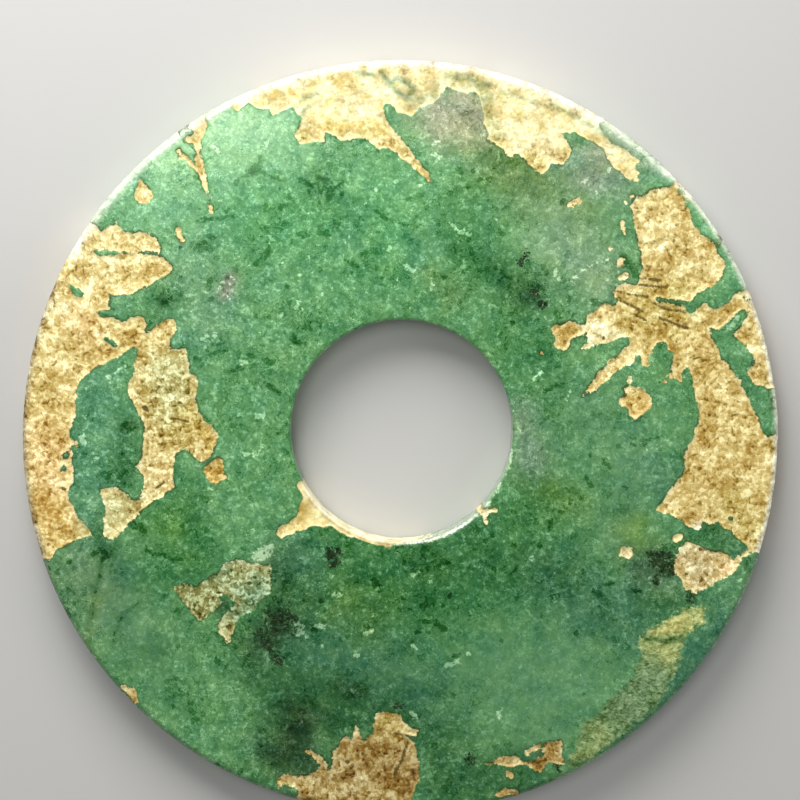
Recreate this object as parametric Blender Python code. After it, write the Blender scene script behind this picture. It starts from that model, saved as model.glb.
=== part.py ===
"""Model a flat jade ring with patches of its own pale, grainy matrix left in both faces.

The ring lies on its back face. The origin is the centre of its outline at the underside, and +Z is
up. +Y is the side that the bore stands a little nearer to.
"""

import bmesh
import bpy
from mathutils import Matrix, Vector

# Driving dimensions, in metres
RING_DIAMETER = 0.100
RING_THICKNESS = 0.006
RIM_ROUNDING = 0.0011
BORE_DIAMETER = 0.0293
BORE_ROUNDING = 0.0005
BORE_SHIFT_X = 0.0002
BORE_SHIFT_Y = 0.0012
PATCH_DEPTH = 0.00025

# Fineness of the round shapes
RING_STEPS = 144
ROUNDING_STEPS = 4

# A rounding takes no more than this share of the thickness, so that some straight wall stays
MOST_ROUNDING = 0.45
# How far a patch's cutter stands clear of the face it cuts, as a share of the thickness
CUTTER_CLEARANCE = 0.5
# Faces that turn by less than this, in radians, are one flat face
FLAT_ANGLE = 0.001

# Jade's green, as linear light
JADE_COLOUR = (0.085, 0.21, 0.095, 1.0)
JADE_ROUGHNESS = 0.3

# The matrix patches are free shapes, so their outlines are shares of the ring's radius. A point's
# unit is a fiftieth of that radius. Where a patch reaches the rim, its outline runs out past it.
OUTLINE_UNITS = 50

FRONT_PATCHES = {
    # The bleached crust along the upper rim, with the long splinter that hangs from it
    "upper_rim": [
        (-24.5, 49.0), (-21.5, 43.1), (-19.9, 44.1), (-18.3, 43.4), (-17.3, 43.6), (-16.8, 42.6),
        (-14.3, 43.8), (-13.7, 42.8), (-12.9, 42.4), (-13.2, 41.2), (-14.1, 40.1), (-13.0, 38.9),
        (-10.0, 39.2), (-9.9, 40.4), (-7.6, 39.5), (-4.9, 39.8), (-2.6, 38.3), (-1.2, 38.1),
        (0.3, 37.0), (3.5, 34.2), (4.3, 33.8), (3.5, 35.3), (-1.4, 41.5), (-2.0, 42.5),
        (-2.1, 44.1), (-1.4, 44.1), (-0.3, 43.1), (1.5, 42.4), (2.0, 43.4), (4.7, 44.6),
        (6.2, 46.3), (8.6, 45.5), (9.6, 46.0), (10.2, 45.2), (10.9, 42.8), (10.8, 41.8),
        (11.4, 40.6), (11.5, 39.4), (13.5, 38.3), (14.2, 37.3), (14.9, 37.1), (15.2, 38.0),
        (18.0, 35.1), (19.0, 34.8), (19.7, 36.3), (21.2, 36.3), (22.0, 36.9), (22.5, 38.0),
        (22.2, 38.9), (21.0, 40.4), (23.0, 40.6), (23.6, 40.0), (25.5, 39.2), (26.5, 38.5),
        (28.0, 35.9), (30.2, 34.2), (31.1, 34.1), (31.2, 35.2), (30.4, 35.8), (31.5, 36.7),
        (29.9, 38.0), (28.0, 38.9), (27.1, 39.8), (25.5, 42.0), (23.7, 43.4), (22.4, 44.8),
        (24.0, 50.0), (0.0, 60.0),
    ],
    # A short splinter that runs in from the rim
    "rim_splinter": [
        (-27.6, 45.0), (-26.8, 41.6), (-27.2, 40.2), (-28.3, 39.4), (-27.2, 38.8), (-26.7, 37.8),
        (-27.1, 35.9), (-25.9, 34.0), (-25.0, 31.7), (-25.5, 34.9), (-26.2, 38.0), (-26.1, 39.2),
        (-25.3, 41.2), (-25.0, 46.0),
    ],
    "arrowhead": [
        (-34.1, 34.6), (-32.2, 32.1), (-33.2, 31.0), (-34.3, 31.3), (-35.0, 32.2),
    ],
    "grain": [
        (-29.5, 28.4), (-28.9, 28.0), (-28.2, 26.3), (-28.7, 26.0), (-29.7, 27.5),
    ],
    # The left rim's crust, the lobes above it and the branched patch that joins it at one point
    "left_rim": [
        (-46.0, 34.0), (-39.9, 29.7), (-39.9, 28.2), (-39.3, 27.5), (-37.2, 28.8), (-36.0, 27.3),
        (-33.3, 27.4), (-32.2, 26.7), (-31.4, 25.4), (-31.8, 24.9), (-35.0, 24.8), (-39.3, 25.1),
        (-40.1, 24.9), (-39.5, 24.3), (-36.5, 24.6), (-33.0, 24.55), (-31.2, 24.2), (-29.9, 22.8),
        (-30.0, 22.0), (-32.3, 21.0), (-33.5, 20.2), (-36.0, 19.0), (-38.3, 19.2), (-38.5, 17.2),
        (-40.4, 17.1), (-39.4, 16.6), (-36.3, 15.7), (-34.4, 16.4), (-33.7, 16.1), (-33.3, 15.2),
        (-33.7, 14.2), (-33.0, 14.3), (-31.3, 15.7), (-30.3, 16.2), (-29.6, 15.8), (-29.4, 14.7),
        (-30.3, 13.2), (-30.2, 12.1), (-28.2, 12.2), (-27.7, 9.2), (-26.9, 8.5), (-26.7, 7.4),
        (-27.0, 5.4), (-26.8, 4.2), (-25.4, 2.3), (-24.6, 1.7), (-24.1, 0.6), (-24.3, -0.6),
        (-25.5, -2.7), (-26.4, -3.2), (-28.3, -1.0), (-29.7, -1.9), (-30.1, -5.4), (-29.7, -6.3),
        (-32.3, -7.9), (-34.8, -9.8), (-37.0, -12.5), (-38.0, -13.2), (-39.0, -13.0),
        (-39.3, -12.0), (-38.8, -8.5), (-39.5, -7.6), (-39.6, -6.6), (-37.5, -6.2), (-34.9, -8.1),
        (-34.1, -7.7), (-33.8, -6.2), (-33.9, -4.8), (-34.9, -3.6), (-34.1, -2.0), (-33.8, -0.5),
        (-34.0, 0.6), (-33.7, 2.0), (-34.9, 4.5), (-35.6, 5.4), (-35.9, 6.8), (-35.0, 9.6),
        (-34.5, 12.2), (-35.3, 12.2), (-36.5, 11.3), (-39.7, 9.8), (-41.2, 8.7), (-42.5, 7.4),
        (-42.9, 6.1), (-42.8, 3.0), (-43.7, 1.6), (-43.5, 0.3), (-42.6, -0.5), (-43.6, -1.1),
        (-43.2, -2.8), (-43.2, -5.2), (-43.9, -7.0), (-43.7, -8.0), (-42.4, -10.4), (-40.5, -12.5),
        (-42.8, -13.1), (-45.5, -14.6), (-46.4, -15.8), (-52.0, -18.0), (-58.0, 8.0),
    ],
    "left_island": [
        (-43.9, 20.9), (-41.4, 19.4), (-41.8, 18.8), (-42.8, 19.2),
    ],
    "left_chip": [
        (-26.0, -3.9), (-25.4, -3.1), (-23.6, -2.2), (-23.2, -2.9), (-23.1, -5.0), (-24.0, -5.7),
        (-25.2, -5.6),
    ],
    "swallow": [
        (-30.0, -19.6), (-29.2, -19.0), (-26.9, -19.5), (-26.4, -18.9), (-24.2, -17.7),
        (-23.0, -16.1), (-20.6, -15.9), (-18.3, -16.6), (-17.1, -16.7), (-17.2, -20.3),
        (-18.2, -20.9), (-19.9, -22.9), (-21.0, -23.4), (-21.7, -24.2), (-22.7, -27.0),
        (-24.1, -25.5), (-24.1, -24.6), (-23.3, -23.1), (-22.4, -22.6), (-22.1, -21.2),
        (-22.9, -20.9), (-24.1, -22.3), (-25.6, -23.3), (-26.3, -24.2), (-27.6, -23.1),
    ],
    # This patch runs well into the bore, so that it meets the lip of a smaller bore too
    "bore_lip": [
        (-8.0, -4.0), (-12.4, -6.0), (-13.5, -9.5), (-13.9, -10.2), (-15.8, -11.4), (-16.2, -12.3),
        (-15.9, -13.0), (-12.5, -11.6), (-9.3, -11.4), (-8.0, -10.8), (-5.0, -7.0),
    ],
    # The crust of the right rim and the starburst that branches from it
    "right_rim": [
        (30.3, 31.3), (31.0, 32.0), (32.2, 32.1), (32.6, 32.9), (35.0, 33.2), (36.0, 33.6),
        (38.2, 29.7), (38.4, 28.5), (41.2, 25.8), (42.7, 22.9), (42.4, 22.0), (41.3, 20.4),
        (38.8, 19.3), (38.2, 18.4), (37.2, 17.9), (38.1, 16.3), (39.4, 17.6), (40.2, 18.0),
        (41.0, 17.4), (42.0, 17.5), (43.0, 18.1), (44.4, 19.6), (45.0, 19.6), (45.4, 18.3),
        (49.0, 19.0), (62.0, 0.0), (51.0, -14.6), (47.4, -14.4), (45.4, -15.5), (44.2, -17.6),
        (40.0, -20.0), (38.9, -20.4), (38.0, -19.9), (36.2, -17.2), (36.2, -16.0), (37.2, -14.1),
        (38.0, -13.6), (39.2, -13.8), (41.2, -14.7), (42.4, -14.6), (44.0, -15.9), (45.9, -14.5),
        (46.0, -13.9), (44.6, -13.0), (43.8, -12.0), (42.9, -11.7), (41.7, -10.7), (41.0, -11.2),
        (40.0, -10.8), (39.9, -11.6), (39.2, -11.9), (38.1, -11.5), (36.3, -10.0), (34.9, -9.7),
        (34.0, -9.1), (36.3, -5.6), (37.8, -4.0), (37.4, -2.3), (37.5, -1.4), (38.5, -0.2),
        (39.4, 3.0), (39.3, 4.8), (38.0, 9.6), (37.5, 9.7), (37.0, 7.8), (36.0, 8.1), (34.0, 7.2),
        (35.8, 8.9), (35.9, 11.2), (34.8, 12.8), (33.9, 12.9), (32.6, 11.1), (32.8, 9.9),
        (31.9, 9.8), (31.2, 10.9), (30.3, 10.0), (29.2, 9.6), (25.6, 6.5), (24.1, 5.9),
        (24.3, 6.7), (25.2, 7.6), (27.6, 10.6), (29.8, 12.2), (30.6, 13.7), (29.5, 13.8),
        (27.4, 12.8), (26.4, 12.8), (23.6, 11.8), (24.9, 13.0), (24.6, 14.2), (22.5, 13.4),
        (21.6, 11.8), (20.5, 11.9), (19.9, 15.0), (22.2, 15.7), (23.3, 15.6), (24.3, 15.0),
        (24.6, 16.3), (26.6, 17.9), (28.0, 17.9), (28.6, 18.4), (28.0, 19.1), (28.4, 20.3),
        (29.8, 20.7), (31.1, 20.6), (31.8, 22.6), (31.6, 24.5), (30.8, 28.0),
    ],
    # Polished jade that the right rim's crust encloses
    "right_island": [
        (40.8, 14.8), (41.8, 14.6), (42.8, 15.2), (43.7, 16.5), (45.3, 17.3), (45.7, 16.9),
        (45.0, 15.2), (43.7, 14.0), (46.4, 11.4), (46.7, 10.3), (45.4, 9.0), (46.7, 7.2),
        (47.7, 7.3), (48.8, 6.5), (48.7, 4.5), (49.3, 2.2), (48.9, 0.8), (48.2, 0.3), (47.3, 2.6),
        (45.6, 6.1), (44.0, 8.9), (42.1, 11.0), (41.9, 12.1), (41.0, 13.6),
    ],
    "right_chip": [
        (28.7, 4.9), (28.8, 5.5), (29.9, 6.1), (29.4, 6.9), (30.3, 7.3), (32.4, 6.5), (33.1, 5.6),
        (33.3, 4.5), (31.0, 2.5), (29.5, 4.5),
    ],
    "lower_dot": [
        (29.3, -14.0), (30.6, -14.3), (30.7, -15.2), (30.2, -15.9), (28.8, -15.3),
    ],
    # The browner crust of the lower rim
    "lower_rim": [
        (-16.5, -45.2), (-15.5, -44.6), (-12.6, -44.6), (-11.1, -44.2), (-10.6, -43.1),
        (-11.6, -42.0), (-10.2, -42.6), (-9.5, -43.8), (-9.0, -43.6), (-8.9, -41.3), (-8.0, -40.6),
        (-7.1, -39.1), (-6.5, -39.9), (-5.9, -38.6), (-4.8, -40.2), (-3.8, -39.0), (-3.4, -38.0),
        (-3.4, -36.5), (-2.5, -36.2), (-0.5, -36.2), (1.2, -38.0), (2.4, -38.6), (2.1, -39.4),
        (0.4, -39.1), (1.9, -40.3), (2.5, -43.5), (2.5, -45.5), (1.7, -47.0), (1.4, -52.0),
        (-16.0, -55.0), (-13.6, -47.0), (-14.0, -46.2), (-16.0, -46.0),
    ],
    "lower_chip": [
        (11.8, -43.1), (13.6, -42.1), (15.4, -42.0), (16.2, -42.8), (17.5, -42.8), (19.0, -41.9),
        (19.2, -40.3), (21.5, -40.0), (21.5, -42.0), (21.8, -43.2), (20.5, -42.9), (19.5, -43.1),
        (18.3, -44.6), (17.4, -43.5), (15.8, -43.2), (14.6, -43.6),
    ],
}

# The back's patches meet the same stretches of the rim and are plainer
BACK_PATCHES = {
    "back_upper": [
        (-25.0, 52.0), (-19.5, 46.0), (-16.0, 42.5), (-9.5, 41.0), (-4.0, 36.5), (-1.0, 40.0),
        (5.0, 42.5), (11.0, 39.5), (16.0, 36.5), (20.0, 39.0), (21.5, 45.5), (24.0, 52.0),
        (0.0, 60.0),
    ],
    "back_left": [
        (-46.0, 33.0), (-39.0, 29.0), (-34.5, 27.5), (-33.0, 22.0), (-37.0, 17.5), (-35.0, 11.0),
        (-40.5, 7.0), (-42.0, -1.0), (-39.5, -7.0), (-41.5, -12.0), (-46.0, -16.5),
        (-52.0, -19.0), (-58.0, 8.0),
    ],
    "back_right": [
        (50.0, 20.5), (44.5, 19.0), (40.0, 21.5), (35.5, 18.0), (33.0, 11.0), (38.0, 8.5),
        (41.5, 2.0), (37.5, -4.5), (38.5, -11.0), (44.0, -13.0), (47.0, -15.5), (52.0, -16.0),
        (62.0, 2.0),
    ],
    "back_lower": [
        (-15.0, -55.0), (-13.0, -47.0), (-10.5, -42.5), (-6.0, -40.5), (-2.5, -37.0), (1.5, -39.5),
        (3.0, -44.0), (2.0, -52.0),
    ],
    "back_island": [
        (12.0, -22.5), (15.5, -19.5), (20.5, -20.0), (23.5, -23.5), (20.0, -25.5), (18.5, -29.0),
        (14.0, -27.5),
    ],
}


def plain_collection(name):
    """Return a new collection linked to the scene."""
    collection = bpy.data.collections.new(name)
    bpy.context.scene.collection.children.link(collection)
    return collection


def stone_material():
    """Return the polished jade's plain material."""
    material = bpy.data.materials.new("mottled_green_jade")
    material.use_nodes = True
    shader = material.node_tree.nodes["Principled BSDF"]
    shader.inputs["Base Color"].default_value = JADE_COLOUR
    shader.inputs["Roughness"].default_value = JADE_ROUGHNESS
    shader.inputs["Metallic"].default_value = 0.0
    return material


def edges_on_circle(mesh, radius, centre):
    """Return the level edges whose two ends stand on a vertical cylinder's surface."""
    def on_circle(vert):
        return abs((vert.co.xy - centre).length - radius) < radius * 1e-4

    return [
        edge for edge in mesh.edges
        if all(on_circle(vert) for vert in edge.verts)
        and abs(edge.verts[0].co.z - edge.verts[1].co.z) < RING_THICKNESS * 1e-3
    ]


def round_edges(mesh, edges, width):
    """Bevel edges into a quarter round of a given width."""
    bmesh.ops.bevel(
        mesh, geom=edges, offset=min(width, RING_THICKNESS * MOST_ROUNDING), offset_type="OFFSET",
        segments=ROUNDING_STEPS, profile=0.5, affect="EDGES", clamp_overlap=True, material=-1,
    )


def build_ring(collection):
    """Make the ring: two circles bridged into a washer, raised, and rounded at its four edges."""
    bore_centre = Vector((BORE_SHIFT_X, BORE_SHIFT_Y))
    mesh = bmesh.new()
    bmesh.ops.create_circle(mesh, segments=RING_STEPS, radius=RING_DIAMETER / 2)
    bmesh.ops.create_circle(
        mesh, segments=RING_STEPS, radius=BORE_DIAMETER / 2,
        matrix=Matrix.Translation(bore_centre.to_3d()),
    )
    bmesh.ops.bridge_loops(mesh, edges=mesh.edges[:])
    raised = bmesh.ops.extrude_face_region(mesh, geom=mesh.faces[:])["geom"]
    bmesh.ops.translate(
        mesh, verts=[item for item in raised if isinstance(item, bmesh.types.BMVert)],
        vec=(0.0, 0.0, RING_THICKNESS),
    )
    round_edges(mesh, edges_on_circle(mesh, RING_DIAMETER / 2, Vector((0.0, 0.0))), RIM_ROUNDING)
    round_edges(mesh, edges_on_circle(mesh, BORE_DIAMETER / 2, bore_centre), BORE_ROUNDING)
    bmesh.ops.recalc_face_normals(mesh, faces=mesh.faces[:])

    data = bpy.data.meshes.new("jade_disc")
    mesh.to_mesh(data)
    mesh.free()
    ring = bpy.data.objects.new("jade_disc", data)
    collection.objects.link(ring)
    data.materials.append(stone_material())
    data.shade_smooth()
    data.set_sharp_from_angle(angle=0.6)
    return ring


def patch_cutter(name, outlines, low, high, collection):
    """Make one closed cutter from flat outlines, standing between two heights.

    An outline inside another one is left uncut.
    """
    curve = bpy.data.curves.new(name, "CURVE")
    curve.dimensions = "2D"
    curve.fill_mode = "BOTH"
    curve.extrude = (high - low) / 2
    unit = RING_DIAMETER / 2 / OUTLINE_UNITS
    for outline in outlines:
        spline = curve.splines.new("POLY")
        spline.points.add(len(outline) - 1)
        spline.use_cyclic_u = True
        for point, (x, y) in zip(spline.points, outline):
            point.co = (x * unit, y * unit, 0.0, 1.0)
    drawn = bpy.data.objects.new(name + "_curve", curve)
    drawn.location.z = (high + low) / 2
    collection.objects.link(drawn)
    bpy.context.view_layer.update()

    evaluated = drawn.evaluated_get(bpy.context.evaluated_depsgraph_get())
    data = bpy.data.meshes.new_from_object(evaluated)
    mesh = bmesh.new()
    mesh.from_mesh(data)
    bmesh.ops.remove_doubles(mesh, verts=mesh.verts[:], dist=1e-6)
    # The fill's triangles become whole flat faces again, so that no sliver is left for the cut
    bmesh.ops.dissolve_limit(mesh, angle_limit=FLAT_ANGLE, verts=[], edges=mesh.edges[:])
    bmesh.ops.recalc_face_normals(mesh, faces=mesh.faces[:])
    mesh.to_mesh(data)
    mesh.free()
    cutter = bpy.data.objects.new(name, data)
    cutter.matrix_world = drawn.matrix_world
    cutter.hide_render = True
    cutter.display_type = "WIRE"
    collection.objects.link(cutter)
    bpy.data.objects.remove(drawn)
    return cutter


def cut(target, cutter):
    """Take a cutter's shape out of an object."""
    boolean = target.modifiers.new(cutter.name, "BOOLEAN")
    boolean.operation = "DIFFERENCE"
    boolean.solver = "EXACT"
    boolean.object = cutter


for leftover in list(bpy.data.objects):
    bpy.data.objects.remove(leftover)

model = plain_collection("jade_pendant")
cutters = plain_collection("cutters")
jade_disc = build_ring(model)
clearance = RING_THICKNESS * CUTTER_CLEARANCE
front_cutter = patch_cutter(
    "front_patch_cutter", FRONT_PATCHES.values(),
    RING_THICKNESS - PATCH_DEPTH, RING_THICKNESS + clearance, cutters,
)
back_cutter = patch_cutter(
    "back_patch_cutter", BACK_PATCHES.values(), -clearance, PATCH_DEPTH, cutters,
)
cut(jade_disc, front_cutter)
cut(jade_disc, back_cutter)
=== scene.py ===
"""Dress the jade disc: a flat ring of mottled green jade with patches of its own tan matrix."""

import math

import bmesh
import bpy
import numpy as np
from mathutils import Matrix, Vector, noise
from mathutils.bvhtree import BVHTree


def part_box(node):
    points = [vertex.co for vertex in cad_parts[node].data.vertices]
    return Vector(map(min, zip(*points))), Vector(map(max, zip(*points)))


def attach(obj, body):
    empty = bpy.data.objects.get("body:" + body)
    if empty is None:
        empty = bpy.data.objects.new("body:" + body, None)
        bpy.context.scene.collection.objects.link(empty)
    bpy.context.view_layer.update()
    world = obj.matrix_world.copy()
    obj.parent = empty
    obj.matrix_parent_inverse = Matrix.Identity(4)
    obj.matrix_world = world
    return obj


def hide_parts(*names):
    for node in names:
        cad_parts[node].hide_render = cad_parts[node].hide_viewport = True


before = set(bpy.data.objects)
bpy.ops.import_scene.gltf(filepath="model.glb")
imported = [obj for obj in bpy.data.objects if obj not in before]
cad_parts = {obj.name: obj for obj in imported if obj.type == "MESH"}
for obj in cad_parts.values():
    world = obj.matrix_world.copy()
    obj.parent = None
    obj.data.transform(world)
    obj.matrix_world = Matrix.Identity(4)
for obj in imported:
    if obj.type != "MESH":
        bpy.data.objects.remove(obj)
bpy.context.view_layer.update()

# The blank
# The real disc is one slab of stone, cut round, bored, ground flat on both faces and rounded at
# its edges. Its sizes are read from the solid, whose mesh is merged in a copy first.
MM = 0.001
SPOKES = 262
RINGS = 28
ROUNDING_STEPS = 5

solid = bmesh.new()
solid.from_mesh(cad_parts["jade_disc"].data)
bmesh.ops.remove_doubles(solid, verts=solid.verts[:], dist=0.001 * MM)
bmesh.ops.recalc_face_normals(solid, faces=solid.faces[:])

low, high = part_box("jade_disc")
rim_radius = (high.x - low.x) / 2
thickness = high.z - low.z


def straight_wall(spread):
    """Return the vertices of an upright wall, which are the nearest to the slab's mid height."""
    lift = min(abs(vert.co.z - thickness / 2) for vert in spread)
    return [vert.co for vert in spread if abs(abs(vert.co.z - thickness / 2) - lift) < 0.01 * MM]


rim_wall = straight_wall([v for v in solid.verts if v.co.xy.length > rim_radius * 0.9])
bore_wall = straight_wall([v for v in solid.verts if v.co.xy.length < rim_radius * 0.4])
rim_rounding = min(co.z for co in rim_wall)
bore_rounding = min(co.z for co in bore_wall)
bore_low = Vector((min(co.x for co in bore_wall), min(co.y for co in bore_wall)))
bore_high = Vector((max(co.x for co in bore_wall), max(co.y for co in bore_wall)))
bore_centre = (bore_low + bore_high) / 2
bore_radius = (bore_high.x - bore_low.x) / 2


def cut_blank():
    """Return the slab's mesh: two circles bridged, raised, and rounded at the four edges."""
    mesh = bmesh.new()
    bmesh.ops.create_circle(mesh, segments=SPOKES, radius=rim_radius)
    bmesh.ops.create_circle(
        mesh, segments=SPOKES, radius=bore_radius,
        matrix=Matrix.Translation(bore_centre.to_3d()),
    )
    bmesh.ops.bridge_loops(mesh, edges=mesh.edges[:])
    raised = bmesh.ops.extrude_face_region(mesh, geom=mesh.faces[:])["geom"]
    bmesh.ops.translate(
        mesh, verts=[item for item in raised if isinstance(item, bmesh.types.BMVert)],
        vec=(0.0, 0.0, thickness),
    )
    for radius, centre, width in (
        (rim_radius, Vector((0.0, 0.0)), rim_rounding), (bore_radius, bore_centre, bore_rounding),
    ):
        level = [
            edge for edge in mesh.edges
            if abs(edge.verts[0].co.z - edge.verts[1].co.z) < 0.01 * MM
            and all(abs((v.co.xy - centre).length - radius) < 0.01 * MM for v in edge.verts)
        ]
        bmesh.ops.bevel(
            mesh, geom=level, offset=width, offset_type="OFFSET", segments=ROUNDING_STEPS,
            profile=0.5, affect="EDGES", clamp_overlap=True, material=-1,
        )
    bmesh.ops.recalc_face_normals(mesh, faces=mesh.faces[:])
    spokes = [edge for edge in mesh.edges if edge.calc_length() > rim_radius * 0.3]
    bmesh.ops.subdivide_edges(mesh, edges=spokes, cuts=RINGS, use_grid_fill=True)
    return mesh


def snap_to_form(mesh):
    """Put every vertex back on the true walls and roundings."""
    for vert in mesh.verts:
        z = vert.co.z
        for centre, radius, width, side in (
            (Vector((0.0, 0.0)), rim_radius, rim_rounding, 1),
            (bore_centre, bore_radius, bore_rounding, -1),
        ):
            flat = vert.co.xy - centre
            past = (flat.length - radius) * side + width
            if past < 0.001 * MM:
                continue
            reach = radius
            if not width <= z <= thickness - width:
                upper = z > thickness / 2
                level = thickness - width if upper else width
                turn = Vector((past, z - level)).normalized() * width
                reach = radius + (turn.x - width) * side
                z = level + turn.y
            vert.co = (*(centre + flat.normalized() * reach), z)


# The matrix patches
# Where the green stone grew through its host rock, pale grainy matrix was left in both faces. It
# is softer than the jade, so polishing has hollowed it a little. The patches' outlines are read
# from the solid's recesses, and each point gets its depth inside them in millimetres.
OUTSIDE = -9.0

# Without a seed, the noise that shifts places would differ from run to run
noise.seed_set(3)


def recess_walls(side):
    """Return a search tree over the upright walls of one face's recesses, and their mid height."""
    face_height = thickness if side > 0 else 0.0
    floors = [
        face.calc_center_median().z for face in solid.faces
        if face.normal.z * side > 0.99
        and (face_height - face.calc_center_median().z) * side > 0.01 * MM
    ]
    floor = sum(floors) / len(floors)
    walls = [
        face for face in solid.faces
        if abs(face.normal.z) < 0.1 and (face.calc_center_median().z - floor) * side > 0.0
    ]
    corners = [vert.co.copy() for face in walls for vert in face.verts]
    polygons = [tuple(range(start, start + 3)) for start in range(0, len(corners), 3)]
    return BVHTree.FromPolygons(corners, polygons), (floor + face_height) / 2


bmesh.ops.triangulate(solid, faces=solid.faces[:])
solid_tree = BVHTree.FromBMesh(solid)
FACES = {side: recess_walls(side) for side in (1, -1)}


def onto_flat(x, y):
    """Pull a point in from the rounded rim or bore to the flat of the face."""
    reach = rim_radius - rim_rounding * 1.1
    radius = math.hypot(x, y)
    if radius > reach:
        x, y = x * reach / radius, y * reach / radius
    dx, dy = x - bore_centre.x, y - bore_centre.y
    radius = math.hypot(dx, dy)
    reach = bore_radius + bore_rounding * 1.2
    if radius < reach:
        x, y = bore_centre.x + dx * reach / radius, bore_centre.y + dy * reach / radius
    return x, y


def patch_depth(x, y, side):
    """Return how far inside a patch a point of one face lies, in millimetres, or outside below 0."""
    x, y = onto_flat(x, y)
    walls, mid = FACES[side]
    distance = walls.find_nearest(Vector((x, y, mid)))[3]
    above = Vector((x, y, thickness / 2 + thickness * side))
    hit = solid_tree.ray_cast(above, Vector((0, 0, -side)))[0]
    inside = (mid - hit.z) * side > 0.0
    return distance / MM * (1 if inside else -1)


# Down the walls the front's patches give way to the back's, and their edges stray sideways
GIVES_WAY = 0.25
STRAY = 7.0


def matrix_at(co):
    """Return the matrix's depth at any point of the slab, blending the faces down the walls."""
    share = co.z / thickness
    if share > 0.99:
        return patch_depth(co.x, co.y, 1)
    if share < 0.01:
        return patch_depth(co.x, co.y, -1)
    wander = noise.noise(co / MM * 0.35) * 0.25
    blend = min(max((share + wander - GIVES_WAY) / 0.3, 0.0), 1.0)
    stray = noise.noise_vector(co / MM * 0.4) * share * (1 - share) * STRAY * MM
    x, y = co.x + stray.x, co.y + stray.y
    return patch_depth(x, y, 1) * blend + patch_depth(x, y, -1) * (1 - blend)


def stroke_depth(places, half_width, path):
    """Return how far inside a stroke along a path each place lies, in millimetres."""
    path = [np.array(point) for point in path]
    best = np.full(len(places), -np.inf)
    for start, end in zip(path, path[1:] or path):
        run = end - start
        along = np.clip((places - start) @ run / max(run @ run, 1e-9), 0.0, 1.0)
        gap = places - start - along[:, None] * run
        best = np.maximum(best, half_width - np.hypot(gap[:, 0], gap[:, 1]))
    return best


def lay_strokes(places, strokes, margin=1.5):
    """Return how far inside the nearest of several strokes each place lies."""
    field = np.full(len(places), OUTSIDE)
    for half_width, *path in strokes:
        reach = half_width + margin
        lowest, highest = np.min(path, axis=0) - reach, np.max(path, axis=0) + reach
        near = np.flatnonzero(np.all((places > lowest) & (places < highest), axis=1))
        if len(near):
            field[near] = np.maximum(field[near], stroke_depth(places[near], half_width, path))
    return field


def lip_arc(start, end, off=0.25, step=6):
    """Return places along the bore's lip between two bearings in degrees, from +X towards +Y."""
    count = max(2, round(abs(end - start) / step) + 1)
    turns = np.radians(np.linspace(start, end, count))
    reach = bore_radius / MM + off
    centre = bore_centre / MM
    return [(centre.x + reach * math.cos(a), centre.y + reach * math.sin(a)) for a in turns]


def strokes_of(half_width, *paths):
    """Return strokes of one half width. Each path is one place or several, as x, y, x, y and so on."""
    return [(half_width, *zip(path[::2], path[1::2])) for path in paths]


# Grains and slivers of matrix that are too small for the solid: half width, then their places
GRAINS = (
    *strokes_of(0.2, (-25.1, 30.9, -24.8, 30), (11.4, -43.1, 12.2, -43), (-5.9, -38.3, -5.5, -39.2)),
    *strokes_of(0.28, (-29, 38, -28, 37, -27.2, 36.2), (29.1, 28.6, 29.5, 27.2), (30.3, 32.1),
        (18.6, 11.5)),
    *strokes_of(0.3, (27.5, 25.2), (-43.4, -0.3, -42.7, -0.6), (10.4, -9.3, 12.5, -9.3)),
    *strokes_of(0.38, (36.3, -13.1, 37, -12.8), (16.9, -41.6, 17.4, -41.2, 18.4, -40.7)),
    *strokes_of(0.4, (22.2, 30.9, 23.5, 31.5), (-36.8, -34, -35.8, -34.9)),
    *strokes_of(0.42, (29, 21.4, 29.6, 21.8), (14.4, -44.5, 14.8, -44.8)),
    *strokes_of(0.45, (13.2, -47.2, 14.2, -46.8, 15.4, -47), (-36.6, -33, -35.5, -33.6, -35.2, -34.6)),
    *strokes_of(0.5, (-43, 6), (11.1, -9.7)),
    (0.18, (30.2, 7.3), (30.3, 8.3)), (0.22, (-28.8, 37.2), (-28, 37)), (0.25, (29.6, 31.3)),
    (0.26, (11.2, -10), (11.4, -11)), (0.32, (28.8, 22.9), (29, 23.8)),
    (0.33, (-12.4, -41.5), (-11.8, -41.6), (-10.8, -42.5), (-10, -43.4)),
    (0.55, (-10.9, -9.1), (-12.2, -10.2)),
)

# The bore's lip is matrix along its lower left, in a smooth band that thins towards the bottom
LIP = (
    (0.5, *lip_arc(208, 244, off=0.5)), (0.4, *lip_arc(242, 264, off=0.36)),
    (0.3, *lip_arc(208, 264, off=-0.05)), (0.24, *lip_arc(262, 270, off=0.05)),
    (0.16, *lip_arc(268, 278, off=-0.05)), (0.08, *lip_arc(276, 286, off=-0.05)),
)

# Green stone that shows through inside the patches
WINDOWS = (
    *strokes_of(0.2, (28.3, 20.7, 30, 20.9), (-27.2, -19.5)),
    *strokes_of(0.3, (-38.6, 13.4, -38, 13, -37.5, 12.6), (43.6, -10.4)),
    *strokes_of(0.4, (-44.4, -3.7), (-23, -21.6)),
    *strokes_of(0.5, (-44.1, -2), (-23.4, -21, -22.4, -21.8)),
    (0.25, (-17.4, -17.3)), (0.34, (33.9, 18.6), (35.6, 18.3), (38.4, 17.8)), (0.45, (31.2, 10.8)),
)


def wobble(places, size=0.8, reach=0.14, seed=0.0):
    """Shift places by smooth noise of a given size, so that drawn edges look grown."""
    shift = np.array([
        (noise.noise_vector(Vector((x / size, y / size, seed)))
         + noise.noise_vector(Vector((x, y, seed + 7.0)) * 2.3 / size)).xy
        for x, y in places
    ])
    return places + shift * reach


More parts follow.
